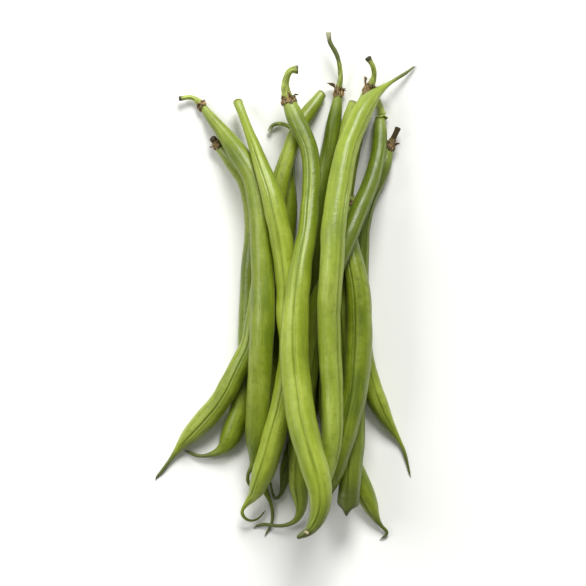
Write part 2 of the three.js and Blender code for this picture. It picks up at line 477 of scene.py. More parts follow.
@dataclass(frozen=True)
class PodSkin:
    """The cuticle of a fresh green bean: waxy, satin, faintly downy, over flesh that lets some light in.

    The skin is yellow-green with slow clouds of lighter and darker green, short streaks along the pod,
    pale raised specks where the tiny hairs stand, and a dark suture between two pale lips.

    Attributes:
        slot: The record's material slot. Not used.
        body: Colour of most of the skin.
        light: Colour of its lighter clouds.
        dark: Colour of its darker clouds and streaks, and of the painted shade in the hollow beside the
            suture.
        deep: Colour of painted shade along parts of some pods, and of their own deeper green.
        lip: Colour of the lips beside the suture.
        suture: Colour of the groove itself.
        tail: Colour of the beak.
        tip: Colour of the beak's dried tip.
        neck: Colour of the narrow end towards the stem.
        down: Colour of the specks.
        rubbed: Colour of the marks of rubbing and insects.
        scar: Colour of dried wounds, such as where the pod came off.
        flesh: Colour of bare flesh inside a wound.
    """

    slot: str
    body: str
    light: str
    dark: str
    deep: str = "#4c5f06"
    lip: str = "#a9bc5c"
    suture: str = "#55680f"
    tail: str = "#4d581f"
    tip: str = "#4a4722"
    neck: str = "#98a84a"
    down: str = "#c9d690"
    rubbed: str = "#6f6630"
    scar: str = "#5f5a2b"
    flesh: str = "#cfc79c"

    SPECK = 0.62 * MM  # spacing of the raised specks
    STREAK = 0.9 * MM  # width of the streaks
    WRINKLE = 1.3 * MM  # width of the fine wrinkles across the pod
    CLOUD = 7 * MM  # size of the light and dark clouds
    MOTTLE = 2.2 * MM  # size of the faint darker flecks
    THICKET = 2.5 * MM  # size of the patches that hold specks
    DIMPLE = 1.6 * MM  # size of the soft dimples
    GRAIN = 0.4 * MM  # size of the skin's own grain, drawn coarser than its cells so that it shows
    BLEMISH = 9 * MM  # spacing of the small brown marks

    def dressed(self, name: str, seed: float, blemished: float) -> bpy.types.Material:
        """Makes the skin of one pod.

        Args:
            name: The pod's name.
            seed: Moves the patterns, so that no two pods are alike.
            blemished: Share of the blemish places that hold a mark.

        Returns:
            The material.
        """
        s = Shader("green bean cuticle, " + name.replace("_", " "))
        grown = s.add(Node.VECTOR, attribute_name="grown")
        even, long, fibre, crossed = (
            s.add(Node.STRETCH, grown, drift(seed), (1.0, 1.0, 1 / stretch))
            for stretch in (1.0, 3.0, 14.0, 0.25)
        )
        clouds = s.add(Node.NOISE, long, 1 / self.CLOUD, 3.0)
        streaks = s.add(Node.NOISE, fibre, 1 / self.STREAK, 3.0)
        mottle = s.add(Node.NOISE, even, 1 / self.MOTTLE, 3.0)
        wrinkles = s.add(Node.NOISE, crossed, 1 / self.WRINKLE, 2.0)
        colour = s.painted(self.dark, self.body, s.add(Node.RISE, clouds, 0.28, 0.52))
        colour = s.painted(colour, self.light, s.add(Node.RISE, clouds, 0.5, 0.68))
        # Painted shade along parts of some pods, together with their own deeper green.
        colour = s.painted(colour, self.deep, s.add(Node.NUMBER, attribute_name="shade_and_tone"))
        colour = s.painted(colour, self.dark, s.add(Node.RISE, mottle, 0.52, 0.66), 0.4)
        colour = s.painted(colour, self.dark, s.add(Node.RISE, wrinkles, 0.54, 0.68), 0.3)
        colour = s.painted(colour, self.dark, s.add(Node.RISE, streaks, 0.5, 0.7), 0.35)
        colour = s.painted(colour, self.light, s.add(Node.FALL, streaks, 0.3, 0.45), 0.3)
        thickets = s.add(Node.RISE, s.add(Node.NOISE, even, 1 / self.THICKET, 2.0), 0.45, 0.6)
        speck = s.add(Node.FALL, s.add(Node.NEAREST, even, 1 / self.SPECK), 0.1, 0.26)
        dotted = s.add(Node.TIMES, speck, thickets)
        colour = s.painted(colour, self.down, dotted, 0.22)
        colour = self.blemishes(s, colour, even, blemished)
        colour = self.sutures(s, colour, streaks)
        colour = self.ends(s, colour, clouds, streaks)
        rough = s.add(Node.RANGE, clouds, 0.32, 0.44)
        relief = s.add(Node.RELIEF, streaks, 0.10 * MM)
        relief = s.add(Node.RELIEF, s.add(Node.NOISE, even, 1 / self.DIMPLE, 2.0), 0.10 * MM, relief)
        relief = s.add(Node.RELIEF, s.add(Node.NOISE, even, 1 / self.GRAIN, 1.0), 0.045 * MM, relief)
        relief = s.add(Node.RELIEF, wrinkles, 0.05 * MM, relief)
        relief = s.add(Node.RELIEF, dotted, 0.022 * MM, relief)
        return s.finish(
            Base_Color=colour,
            Roughness=s.add(Node.MINUS, rough, s.add(Node.TIMES, dotted, 0.2)),
            IOR=1.5,
            Sheen_Weight=0.05,
            Sheen_Roughness=0.4,
            Sheen_Tint="#e4efc0",
            Subsurface_Weight=0.08,
            Subsurface_Radius=(0.6, 1.0, 0.25),
            Subsurface_Scale=1.2 * MM,
            Normal=relief,
        )

    def blemishes(
        self, s: Shader, colour: object, where: object, blemished: float
    ) -> bpy.types.NodeSocket:
        """Adds a few small brown marks of rubbing and insects over a colour."""
        edge = s.add(Node.TIMES, s.add(Node.NOISE, where, 1 / (0.7 * MM), 2.0), 0.06)
        ragged = s.add(Node.PLUS, s.add(Node.NEAREST, where, 1 / self.BLEMISH), edge)
        drawn = s.add(Node.LOTTERY, where, 1 / self.BLEMISH)
        chosen = s.add(Node.FALL, drawn, blemished - 0.02, blemished + 0.02)
        mark = s.add(Node.TIMES, s.add(Node.FALL, ragged, 0.06, 0.105), chosen)
        return s.painted(colour, self.rubbed, mark, 0.7)

    def sutures(self, s: Shader, colour: object, streaks: object) -> bpy.types.NodeSocket:
        """Draws the suture with its lips, painted shade in the hollow beside it, and the faint line along
        the pod's back, over a colour.
        """
        apart = s.add(Node.NUMBER, attribute_name="suture")
        shown = s.add(Node.NUMBER, attribute_name="seam_depth")
        lips = s.add(Node.TIMES, s.add(Node.RISE, apart, 0.7, 1.1), s.add(Node.FALL, apart, 1.3, 1.9))
        lips = s.add(Node.TIMES, lips, s.add(Node.RISE, streaks, 0.3, 0.6))
        colour = s.painted(colour, self.lip, s.add(Node.TIMES, lips, shown), 0.4)
        # Painted shade in the hollow along both sides of the suture.
        valley_shade = s.add(Node.TIMES, s.add(Node.FALL, apart, 0.2, 1.1), shown)
        colour = s.painted(colour, self.dark, valley_shade, 0.35)
        worn = s.add(Node.RISE, streaks, 0.2, 0.6)
        groove = s.add(Node.TIMES, s.add(Node.FALL, apart, 0.05, 0.42), worn)
        colour = s.painted(colour, self.suture, s.add(Node.TIMES, groove, shown), 0.6)
        back = s.add(Node.FALL, s.add(Node.NUMBER, attribute_name="back"), 0.15, 0.5)
        return s.painted(colour, self.lip, back, 0.3)

    def ends(
        self, s: Shader, colour: object, clouds: object, streaks: object
    ) -> bpy.types.NodeSocket:
        """Colours the beak, the neck and the wounds over a colour."""
        tail = s.add(Node.NUMBER, attribute_name="tail")
        patchy = s.add(Node.TIMES, s.add(Node.MINUS, clouds, 0.45), 0.6)
        uneven = s.add(Node.PLUS, tail, patchy)
        colour = s.painted(colour, self.tail, s.add(Node.RISE, uneven, 0.08, 0.6), 0.85)
        colour = s.painted(colour, self.tip, s.add(Node.RISE, tail, 0.82, 1.0))
        colour = s.painted(colour, self.neck, s.add(Node.NUMBER, attribute_name="neck"), 0.5)
        torn = s.add(Node.TIMES, s.add(Node.MINUS, streaks, 0.4), 0.5)
        scar = s.add(Node.PLUS, s.add(Node.NUMBER, attribute_name="scar"), torn)
        colour = s.painted(colour, self.scar, s.add(Node.RISE, scar, 0.3, 0.6), 0.85)
        return s.painted(colour, self.flesh, s.add(Node.RISE, scar, 0.72, 0.95))


@dataclass(frozen=True)
class StalkSkin:
    """The ribbed skin of a bean's stalk: matt, streaked green, dried grey-brown where it tore.

    Attributes:
        slot: The record's material slot. Not used.
        fresh: Colour of its ribs.
        shaded: Colour between them.
        dry: Colour of the dried part.
        torn: Colour of the torn end.
    """

    slot: str = "stem_green"
    fresh: str = "#b2bf62"
    shaded: str = "#7f8c38"
    dry: str = "#76704a"
    torn: str = "#3d3826"

    STREAK = 0.35 * MM  # width of the streaks
    CLOUD = 2.2 * MM  # size of the uneven patches

    def dressed(self, name: str, seed: float, dryness: float) -> bpy.types.Material:
        """Makes the skin of one stalk.

        Args:
            name: The stalk's name.
            seed: Moves the patterns.
            dryness: Share of the stalk that has dried, from its far end.

        Returns:
            The material.
        """
        s = Shader("bean stalk skin, " + name.replace("_", " "))
        grown = s.add(Node.VECTOR, attribute_name="grown")
        even, fibre = (
            s.add(Node.STRETCH, grown, drift(seed), (1.0, 1.0, 1 / stretch)) for stretch in (1.0, 8.0)
        )
        streaks = s.add(Node.NOISE, fibre, 1 / self.STREAK, 3.0)
        clouds = s.add(Node.NOISE, even, 1 / self.CLOUD, 3.0)
        colour = s.painted(self.shaded, self.fresh, s.add(Node.RISE, streaks, 0.35, 0.65))
        patchy = s.add(Node.TIMES, s.add(Node.MINUS, clouds, 0.4), 0.3)
        share = s.add(Node.PLUS, s.add(Node.NUMBER, attribute_name="share"), patchy)
        colour = s.painted(colour, self.dry, s.add(Node.RISE, share, 0.92 - dryness, 1.1 - dryness))
        return s.finish(
            Base_Color=s.painted(colour, self.torn, s.add(Node.RISE, share, 0.9, 1.0)),
            Roughness=0.55,
            IOR=1.42,
            Subsurface_Weight=0.08,
            Subsurface_Radius=(0.6, 1.0, 0.25),
            Subsurface_Scale=0.6 * MM,
            Normal=s.add(Node.RELIEF, clouds, 0.15 * MM, s.add(Node.RELIEF, streaks, 0.10 * MM)),
        )


@dataclass(frozen=True)
class CalyxHusk:
    """The calyx of a bean: thin tissue, withered to dull brown fibres, with shade painted darkest into its
    folds.

    Attributes:
        slot: The record's material slot. Not used.
        tan: Colour of the raised fibres.
        brown: Colour of most of the tissue.
        dark: Colour of its dark patches, and of the painted shade in its folds.
    """

    slot: str = "calyx_dry"
    tan: str = "#b39a63"
    brown: str = "#6f5834"
    dark: str = "#32251a"

    FIBRE = 0.35 * MM  # width of the fibres
    PATCH = 1.4 * MM  # size of the dark patches
    PIT = 0.25 * MM  # size of the pits

    def dressed(self) -> bpy.types.Material:
        """Makes the husk of one calyx."""
        s = Shader("bean calyx tissue")
        grown = s.add(Node.VECTOR, attribute_name="grown")
        drawn_out = s.add(Node.STRETCH, grown, drift(0.0), (1.0, 1.0, 1 / 5.0))
        fibres = s.add(Node.NOISE, drawn_out, 1 / self.FIBRE, 3.0)
        patches = s.add(Node.NOISE, grown, 1 / self.PATCH, 3.0)
        pits = s.add(Node.NOISE, grown, 1 / self.PIT, 2.0)
        colour = s.painted(self.dark, self.brown, s.add(Node.RISE, patches, 0.32, 0.56))
        colour = s.painted(colour, self.tan, s.add(Node.RISE, fibres, 0.48, 0.62), 0.8)
        return s.finish(
            # Painted shade in the folds, where the fibres' relief is low.
            Base_Color=s.painted(colour, self.dark, s.add(Node.FALL, fibres, 0.3, 0.42), 0.7),
            Roughness=0.8,
            Normal=s.add(Node.RELIEF, pits, 0.08 * MM, s.add(Node.RELIEF, fibres, 0.22 * MM)),
        )


@dataclass(frozen=True)
class TableTop:
    """A smooth white laminate table, whose gloss is too low to mirror anything."""

    white: str = "#f7f7f4"
    warm: str = "#f1f1ec"

    def dressed(self) -> bpy.types.Material:
        """Makes the table's surface, with a tint that drifts too slowly to show as a pattern."""
        s = Shader("white laminate")
        slow = s.add(Node.NOISE, s.add(Node.OBJECT), 1 / (120 * MM), 2.0)
        return s.finish(Base_Color=s.painted(self.white, self.warm, slow), Roughness=0.7)


# A picked stalk, fresh and ribbed; one whose cut end has gone pale; and one that has dried right through.
GREEN_STALK = StalkSkin()
GREY_STALK = StalkSkin(shaded="#6c7a34", dry="#656e3c", torn="#b3b294")
DRY_STALK = StalkSkin(fresh="#7c7142", shaded="#5f5430", dry="#4a3d24", torn="#2c241a")
# The same waxy cuticle, from pods that grew in shade to ones that grew in the sun.
PALE = PodSkin("pod_skin_pale", "#8b9d2f", "#a1b048", "#748627", lip="#a5b55e")
BRIGHT = PodSkin("pod_skin_bright", "#94a528", "#abba42", "#788b1b", lip="#b7c45a")
MIDDLE = PodSkin("pod_skin_middle", "#859523", "#9dab3c", "#667815", lip="#a6b44e")
DEEP = PodSkin("pod_skin_deep", "#738412", "#8e9d2f", "#536508", lip="#96a53f")
# A withered calyx, and one that is still green.
BROWN_HUSK = CalyxHusk()
GREEN_HUSK = CalyxHusk(tan="#b0bb66", brown="#93a047", dark="#6f7c30")


# ---------------------------------------------------------------------------------------------------
# The bundle's pieces


def pod_line(name: str) -> Centreline:
    """The middle line of a pod from its stem end, which points to the back for all pods but one."""
    back = -1.0 if name == "right_upper" else 1.0
    return Centreline.of_node("pod_" + name, 1.0 * MM, 1.2 * MM, np.array([0.0, back, 0.0]))


@dataclass(frozen=True)
class Pod:
    """One bean pod.

    Attributes:
        name: The place in the bundle. Its node is this with "pod_" before it.
        skin: Its finish.
        seam: Where the suture runs: (share of the length, degrees from the top towards the right).
        seed: Chooses its small irregularities.
        top: How it ends towards the stem.
        swell: How far the seeds push the skin out, in metres.
        blemished: Share of the blemish places that hold a mark.
        lips: How strongly the suture's groove and lips stand out.
        beak: Length of the thin tail, in metres.
        pinch: How sharply the body ends before the tail.
        necking: Share of the thickness lost under the calyx.
        torn: A wound, as its distance from the tip, its angle from the suture in radians and its size.
        blunt: Radius of a lower end that broke off, with a point at the suture, or 0.
        shade_and_tones: How much deeper the green is, as painted shade and as the pod's own deeper green:
            (share of the length, amount from 0 to 1).
    """

    name: str
    skin: PodSkin
    seam: tuple[tuple[float, float], ...]
    seed: int
    top: Top = Top.CALYX
    swell: float = 0.16 * MM
    blemished: float = 0.12
    lips: float = 1.0
    beak: float = 16 * MM
    pinch: float = 0.45
    necking: float = 0.24
    torn: tuple[float, float, float] | None = None
    blunt: float = 0.0
    shade_and_tones: tuple[tuple[float, float], ...] = ((0, 0), (1, 0))

    AROUND = 84  # faces round a pod
    STEP = 0.42 * MM  # distance between two rings
    CROWDING = 0.6  # how much closer the points lie at the suture than at the back
    GROOVE = 0.24 * MM  # half width of the suture
    GROOVE_DEPTH = 0.2 * MM
    VALLEY = 1.5 * MM  # half width of the hollow along both sides of the suture
    VALLEY_DEPTH = 0.28 * MM
    LIP_AWAY = 0.6 * MM  # distance of each lip from the suture
    LIP_WIDTH = 0.36 * MM
    LIP_HEIGHT = 0.14 * MM
    SEED_SPACING = 11.5 * MM
    OVAL = 0.025  # how much deeper than wide the section is
    TAIL = 0.62 * MM  # least radius of the tail before its tip
    WAVER = 0.12 * MM  # how far the middle line wanders
    NECK = 6 * MM  # length that draws in under the calyx
    BACK_RIDGE = 0.05 * MM  # height of the faint ridge opposite the suture
    BACK_WIDTH = 0.7 * MM  # its half width
    SEED_LENGTH = 3.6 * MM  # half length of a seed's bulge
    SEED_SHY = 0.18  # share of the spacing by which a seed may lie off its place
    LOBED = 0.035 * MM  # how far the section strays from its oval
    UNEVEN = 0.05 * MM  # how far the thickness strays along the pod
    TORN_DEPTH = 0.25 * MM  # roughness of a wound
    SLANT = 1.6 * MM  # half width of the point that a broken end has at the suture

    def build(self) -> None:
        """Makes the pod's mesh, dresses it and puts it in the scene."""
        chance = np.random.default_rng(self.seed)
        line = self.uneven(pod_line(self.name), chance)
        start = min(0.9 * MM, 0.6 * line.radii[0])
        end = max(min(0.6 * MM, line.radii[-1]), 0.66 * self.blunt)
        rings = capped_stations(line.length, self.STEP, start, end)
        sheet = Sheet("bean_" + self.name, self.AROUND, len(rings) - 1)
        along = np.interp(sheet.v * (len(rings) - 1), np.arange(len(rings)), rings)
        turn = TURN * (sheet.u - 0.5)
        around = turn - self.CROWDING * np.sin(turn)
        thick = hermite(along, line.along, line.radii) * self.shape(along, line)
        if self.blunt:
            thick = np.maximum(thick, self.blunt * ease(along, line.length - 15 * MM, line.length - 7 * MM))
        radius, depth = self.section(around, along, thick, line.length, chance)
        closing = rounded_ends(along, line.length, start, end)
        radius = radius * closing
        right, top = line.sides()
        angle = around + self.roll(along / line.length)
        sloped = 1 - np.exp(-((around * thick / self.SLANT) ** 2))
        met_pole = ease(closing, 0.35, 0)  # where the last points share one shift, so that they meet
        sloped = 0.6 * self.blunt * (sloped * (1 - met_pole) + 0.6 * met_pole)
        met = along - sloped * ease(along, line.length - 8 * MM, line.length)
        places = hermite(met, line.along, line.places)
        rightward = hermite(along, line.along, right)
        upward = hermite(along, line.along, top)
        out = np.sin(angle)[:, None] * rightward + np.cos(angle)[:, None] * upward
        sheet.place(above_floor(places + radius[:, None] * out))
        self.mark(sheet, around, along, thick, depth, line.length)
        material = self.skin.dressed(self.name, float(self.seed), self.blemished)
        finished(sheet.closed(), material, "pod_" + self.name)

    def uneven(self, line: Centreline, chance: np.random.Generator) -> Centreline:
        """The pod's middle line with the slight waver of a grown thing."""
        shy = ease(line.radii, 0.8 * MM, 2.5 * MM)
        waver = np.stack([wander(line.along, 34 * MM, chance), wander(line.along, 41 * MM, chance)], 1)
        return line.shifted(waver * shy[:, None] * self.WAVER)

    def shape(self, along: np.ndarray, line: Centreline) -> np.ndarray:
        """A factor on the thickness that draws the neck in under the calyx and pinches the beak.

        Args:
            along: Distances from the stem end.
            line: The pod's middle line.

        Returns:
            The factor, 1 along the body.
        """
        neck = 1 - self.necking * ease(along, self.NECK, 0)
        radius = np.interp(along, line.along, line.radii)
        beaked = ease(along, 0.55 * line.length, 0.8 * line.length) * self.pinch
        pinched = np.clip(radius / np.max(radius) / 0.72, 0.05, 1) ** beaked
        kept = np.clip(self.TAIL / radius, 0, 1) * ease(line.length - along, 0, 2 * MM)
        return neck * np.maximum(pinched, kept)

    def roll(self, share: np.ndarray) -> np.ndarray:
        """The suture's angle from the top, in radians, at each share of the length."""
        places = np.array([place for place, _ in self.seam], float)
        degrees = np.array([angle for _, angle in self.seam], float)
        even = np.linspace(0, 1, 101)
        smooth = blurred(np.interp(even, places, degrees), 5)
        return np.radians(np.interp(share, even, smooth))

    def section(
        self,
        around: np.ndarray,
        along: np.ndarray,
        thick: np.ndarray,
        length: float,
        chance: np.random.Generator,
    ) -> tuple[np.ndarray, np.ndarray]:
        """Distance of the skin from the middle line.

        Args:
            around: Angle from the suture, in radians.
            along: Distance from the stem end.
            thick: The pod's radius there.
            length: The pod's length.
            chance: The source of its irregularities.

        Returns:
            The distance, and how strongly the suture shows there, from 0 to 1.
        """
        body = ease(thick, 1.2 * MM, 2.8 * MM) * ease(along, 3 * MM, 20 * MM)
        apart = np.abs(around) * thick
        depth = self.lips * body * (0.8 + 0.2 * wander(along, 19 * MM, chance))
        radius = thick * (1 + self.OVAL * body * np.cos(2 * around))
        radius -= self.GROOVE_DEPTH * depth * np.exp(-((apart / self.GROOVE) ** 2))
        radius -= self.VALLEY_DEPTH * depth * np.exp(-((apart / self.VALLEY) ** 2))
        lip = np.exp(-(((apart - self.LIP_AWAY) / self.LIP_WIDTH) ** 2))
        radius += self.LIP_HEIGHT * depth * lip
        back = (math.pi - np.abs(around)) * thick
        radius += self.BACK_RIDGE * body * np.exp(-((back / self.BACK_WIDTH) ** 2))
        radius += self.seeds(along, length, chance) * body * np.sin(around) ** 2
        for lobes in (2, 3, 5):
            twist = chance.uniform(0, TURN) + 0.8 * wander(along, 47 * MM, chance)
            radius += self.LOBED * body * np.sin(lobes * around + twist)
        radius += self.UNEVEN * body * wander(along, 13 * MM, chance)
        torn = self.wound(around, along, thick, length)
        radius += self.TORN_DEPTH * torn * np.sin(9 * around + 4000 * along)
        return radius, np.clip(depth, 0, 1)

    def seeds(self, along: np.ndarray, length: float, chance: np.random.Generator) -> np.ndarray:
        """How far the seeds inside push the skin out at each distance from the stem end."""
        first = 0.2 * length
        count = int((0.72 * length) / self.SEED_SPACING)
        bulge = np.zeros_like(along)
        for number in range(count):
            middle = first + self.SEED_SPACING * (number + chance.uniform(-self.SEED_SHY, self.SEED_SHY))
            size = self.swell * chance.uniform(0.5, 1.3)
            bulge += size * np.exp(-(((along - middle) / self.SEED_LENGTH) ** 2))
        return bulge

    def mark(
        self,
        sheet: Sheet,
        around: np.ndarray,
        along: np.ndarray,
        thick: np.ndarray,
        depth: np.ndarray,
        length: float,
    ) -> None:
        """Stores on the points what the skin's patterns follow, with small distances in millimetres."""
        straight = np.stack([thick * np.cos(around), thick * np.sin(around), along], axis=1)
        sheet.mark("grown", straight)
        sheet.mark("suture", np.abs(around) * thick / MM)
        sheet.mark("back", (math.pi - np.abs(around)) * thick / MM)
        sheet.mark("seam_depth", depth)
        sheet.mark("tail", np.clip(1 - (length - along) / self.beak, 0, 1))
        # Where painted shade and the pod's own deeper green lie along it.
        places, depths = np.array(self.shade_and_tones, float).T
        sheet.mark("shade_and_tone", np.interp(along / length, places, depths))
        sheet.mark("neck", ease(along, 9 * MM, 1 * MM))
        bare = {Top.CALYX: 0.0, Top.SCAR: 0.6, Top.CUT: 1.0}[self.top]
        scar = bare * ease(along, 2.2 * MM, 0.4 * MM)
        sheet.mark("scar", np.maximum(scar, self.wound(around, along, thick, length)))

    def wound(
        self, around: np.ndarray, along: np.ndarray, thick: np.ndarray, length: float
    ) -> np.ndarray:
        """How deep each point lies in the pod's wound, from 0 outside it to 1 in its middle."""
        if not self.torn:
            return np.zeros_like(along)
        back, angle, size = self.torn
        turned = np.arctan2(np.sin(around - angle), np.cos(around - angle)) * thick
        turned = turned + 0.35 * size * np.sin(2200 * along)
        return np.exp(-((turned / size) ** 2) - ((along - length + back) / (0.8 * size)) ** 2)


@dataclass(frozen=True)
class Sepal:
    """One lobe of a calyx that stands out from the rest.

    Attributes:
        angle: Where round the stalk it stands, in degrees from the right towards the top.
        length: Its length in metres.
        lean: Its direction in degrees: 90 along the stalk, 0 straight out, and less than 0 back on the pod.
    """

    angle: float
    length: float
    lean: float


@dataclass(frozen=True)
class Stem:
    """A stalk with the withered calyx at its foot.

    Attributes:
        name: The pod it belongs to. Its node is this with "stem_" before it.
        seed: Chooses its small irregularities.
        sepals: The lobes of the calyx that stand out.
        ragged: How many short lobes are left besides them.
        finish: The stalk's skin.
        dryness: Share of the stalk that has dried, from its far end.
        flare: How much thicker the torn end is.
        plump: A factor on the stalk's thickness.
        cupped: A factor on the size of the calyx's cup.
        husk: The calyx's finish.
    """

    name: str
    seed: int
    sepals: tuple[Sepal, ...] = ()
    ragged: int = 6
    finish: StalkSkin = GREEN_STALK
    dryness: float = 0.2
    flare: float = 1.3
    plump: float = 1.0
    cupped: float = 1.0
    husk: CalyxHusk = BROWN_HUSK

    AROUND = 28  # faces round a stalk
    STEP = 0.16 * MM  # distance between two rings
    RIBS = 5
    FOOT = 2.4 * MM  # length over which the foot of the stalk thickens
    CUP_LOW = 1.9 * MM  # how far the calyx reaches down over the pod
    CUP_HIGH = 1.7 * MM  # how far it reaches up along the stalk
    WALL = 0.16 * MM  # thickness of its tissue
    CUP_FACES = (48, 30)  # faces round the cup and round its wall
    LOBE_FACES = (18, 22)  # faces round a lobe and along it

    def build(self) -> None:
        """Makes the stalk and its calyx, dresses them and puts them in the scene."""
        chance = np.random.default_rng(self.seed)
        pod = pod_line(self.name)
        line = Centreline.of_node("stem_" + self.name, 0.25 * MM, 0.5 * MM, pod.places[0])
        self.stalk(line, chance)
        self.calyx(Joint.between(pod, line), chance)

    def stalk(self, line: Centreline, chance: np.random.Generator) -> None:
        """Makes the ribbed stalk, with a hollow in its torn end."""
        thin = float(np.min(line.radii)) * self.plump
        neck = float(line.radii[0])
        end = 0.6 * thin
        rings = capped_stations(line.length, self.STEP, 0.4 * MM, end)
        sheet = Sheet("stalk_" + self.name, self.AROUND, len(rings) - 1)
        along = np.interp(sheet.v * (len(rings) - 1), np.arange(len(rings)), rings)
        around = TURN * (sheet.u - 0.5)
        from_foot = np.exp(-along / self.FOOT)
        from_end = np.exp(-(((line.length - along) / (1.6 * MM)) ** 2))
        thick = thin + (neck * 0.85 - thin) * from_foot + thin * (self.flare - 1) * from_end
        thick = thick * (1 + 0.06 * wander(along, 5 * MM, chance))
        ribs = 1 + 0.09 * np.cos(self.RIBS * around + 0.8 * wander(along, 12 * MM, chance))
        closing = rounded_ends(along, line.length, 0.4 * MM, end)
        radius = thick * ribs * closing
        hollow = thin * ease(closing, 0.8, 0.3) * ease(along, 0.5 * line.length, 0.9 * line.length)
        right, top = line.sides()
        rightward = hermite(along, line.along, right)
        upward = hermite(along, line.along, top)
        out = np.sin(around)[:, None] * rightward + np.cos(around)[:, None] * upward
        middle = hermite(along - hollow, line.along, line.places)
        sheet.place(above_floor(middle + radius[:, None] * out))
        sheet.mark("grown", np.stack([thick * np.cos(around), thick * np.sin(around), along], axis=1))
        sheet.mark("share", along / line.length)
        material = self.finish.dressed(self.name, float(self.seed), self.dryness)
        finished(sheet.closed(), material, "stem_" + self.name)

    def calyx(self, joint: "Joint", chance: np.random.Generator) -> None:
        """Makes the calyx, a ragged cup with its lobes, as one piece round the pod's neck."""
        parts = [self.cup(joint, chance)]
        for sepal in self.sepals:
            parts.append(self.lobe(joint, sepal, chance))
        for number in range(self.ragged):
            angle = 360 * (number + chance.uniform(-0.3, 0.3)) / self.ragged
            short = Sepal(angle, chance.uniform(0.9, 2.0) * MM, chance.uniform(-10, 80))
            parts.append(self.lobe(joint, short, chance))
        joined = bmesh.new()
        for part in parts:
            joined.from_mesh(part)
            bpy.data.meshes.remove(part)
        mesh = bpy.data.meshes.new("calyx_" + self.name)
        joined.to_mesh(mesh)
        joined.free()
        mesh.shade_smooth()
        finished(mesh, self.husk.dressed(), None)

    def cup(self, joint: "Joint", chance: np.random.Generator) -> bpy.types.Mesh:
        """The cup of the calyx, a lumpy sleeve from the pod's shoulder to the stalk.

        Args:
            joint: Where pod and stalk meet.
            chance: The source of its lumps.

        Returns:
            The cup's mesh, a closed wall.
        """
        sheet = Sheet("cup", *self.CUP_FACES)
        around = TURN * sheet.u
        loop = TURN * sheet.v
        up = (1 - np.cos(loop)) / 2
        ragged = 0.5 * np.sin(4 * around + chance.uniform(0, TURN))
        ragged += 0.4 * np.sin(9 * around + chance.uniform(0, TURN))
        folds = 0.5 * np.sin(6 * around + 3 * up + chance.uniform(0, TURN))
        folds += 0.5 * np.sin(13 * around - 4 * up + chance.uniform(0, TURN))
        low = self.CUP_LOW * (1 + 0.45 * ragged) * self.cupped
        high = self.CUP_HIGH * (1 + 0.7 * ragged * folds) * self.cupped
        forward = -low + (low + high) * up
        slim = ease(up, 0.1, 1.0)
        radius = joint.shoulder * (1 - slim) + (joint.stalk + 0.3 * MM) * slim
        radius += self.cupped * 0.2 * MM * np.sin(math.pi * up) + self.WALL * np.sin(loop)
        radius += self.cupped * 0.2 * MM * folds * np.sin(math.pi * up)
        sheet.place(above_floor(joint.at(around, radius, forward)))
        sheet.mark("grown", np.stack([radius * np.cos(around), radius * np.sin(around), forward], axis=1))
        return sheet.closed()

    def lobe(self, joint: "Joint", sepal: Sepal, chance: np.random.Generator) -> bpy.types.Mesh:
        """One pointed lobe, curled, crumpled and twisted as it dried.

        Args:
            joint: Where pod and stalk meet.
            sepal: Its place, length and direction.
            chance: The source of its curl.

        Returns:
            The lobe's mesh, with a thin wall.
        """
        half = np.clip(0.28 * sepal.length, 0.4 * MM, 1.0 * MM) * chance.uniform(0.8, 1.15)
        curl = chance.uniform(-0.8, 0.8)
        twist = chance.uniform(-0.9, 0.9)
        sheet = Sheet("lobe", *self.LOBE_FACES)
        rim = TURN * sheet.u
        width = np.sqrt(np.clip(np.sin(math.pi * sheet.v**0.6), 0, 1))
        width = width * (1 + 0.2 * np.sin(9 * sheet.v + chance.uniform(0, TURN)))
        across = half * width * np.cos(rim)
        slope = math.radians(sepal.lean) + curl * sheet.v
        crumple = 0.14 * MM * np.sin(4 * across / half + 6 * sheet.v + chance.uniform(0, TURN))
        crumple += 0.1 * MM * np.sin(12 * sheet.v - 3 * across / half + chance.uniform(0, TURN))
        lift = 0.7 * across**2 / half + crumple * width + across * np.sin(twist * sheet.v)
        lift = lift + self.WALL * width * np.sin(rim)
        base = (joint.shoulder + joint.stalk) / 2
        radius = base + sepal.length * sheet.v * np.cos(slope) - lift * np.sin(slope)
        forward = sepal.length * sheet.v * np.sin(slope) + lift * np.cos(slope)
        sideways = across * np.cos(twist * sheet.v)
        around = math.radians(sepal.angle) + sideways / np.maximum(radius, 0.8 * MM)
        sheet.place(above_floor(joint.at(around, radius, forward)))
        moved = across + sepal.angle * MM  # so that no two lobes show the same fibres
        sheet.mark("grown", np.stack([moved, lift, sepal.length * sheet.v], axis=1))
        return sheet.closed()


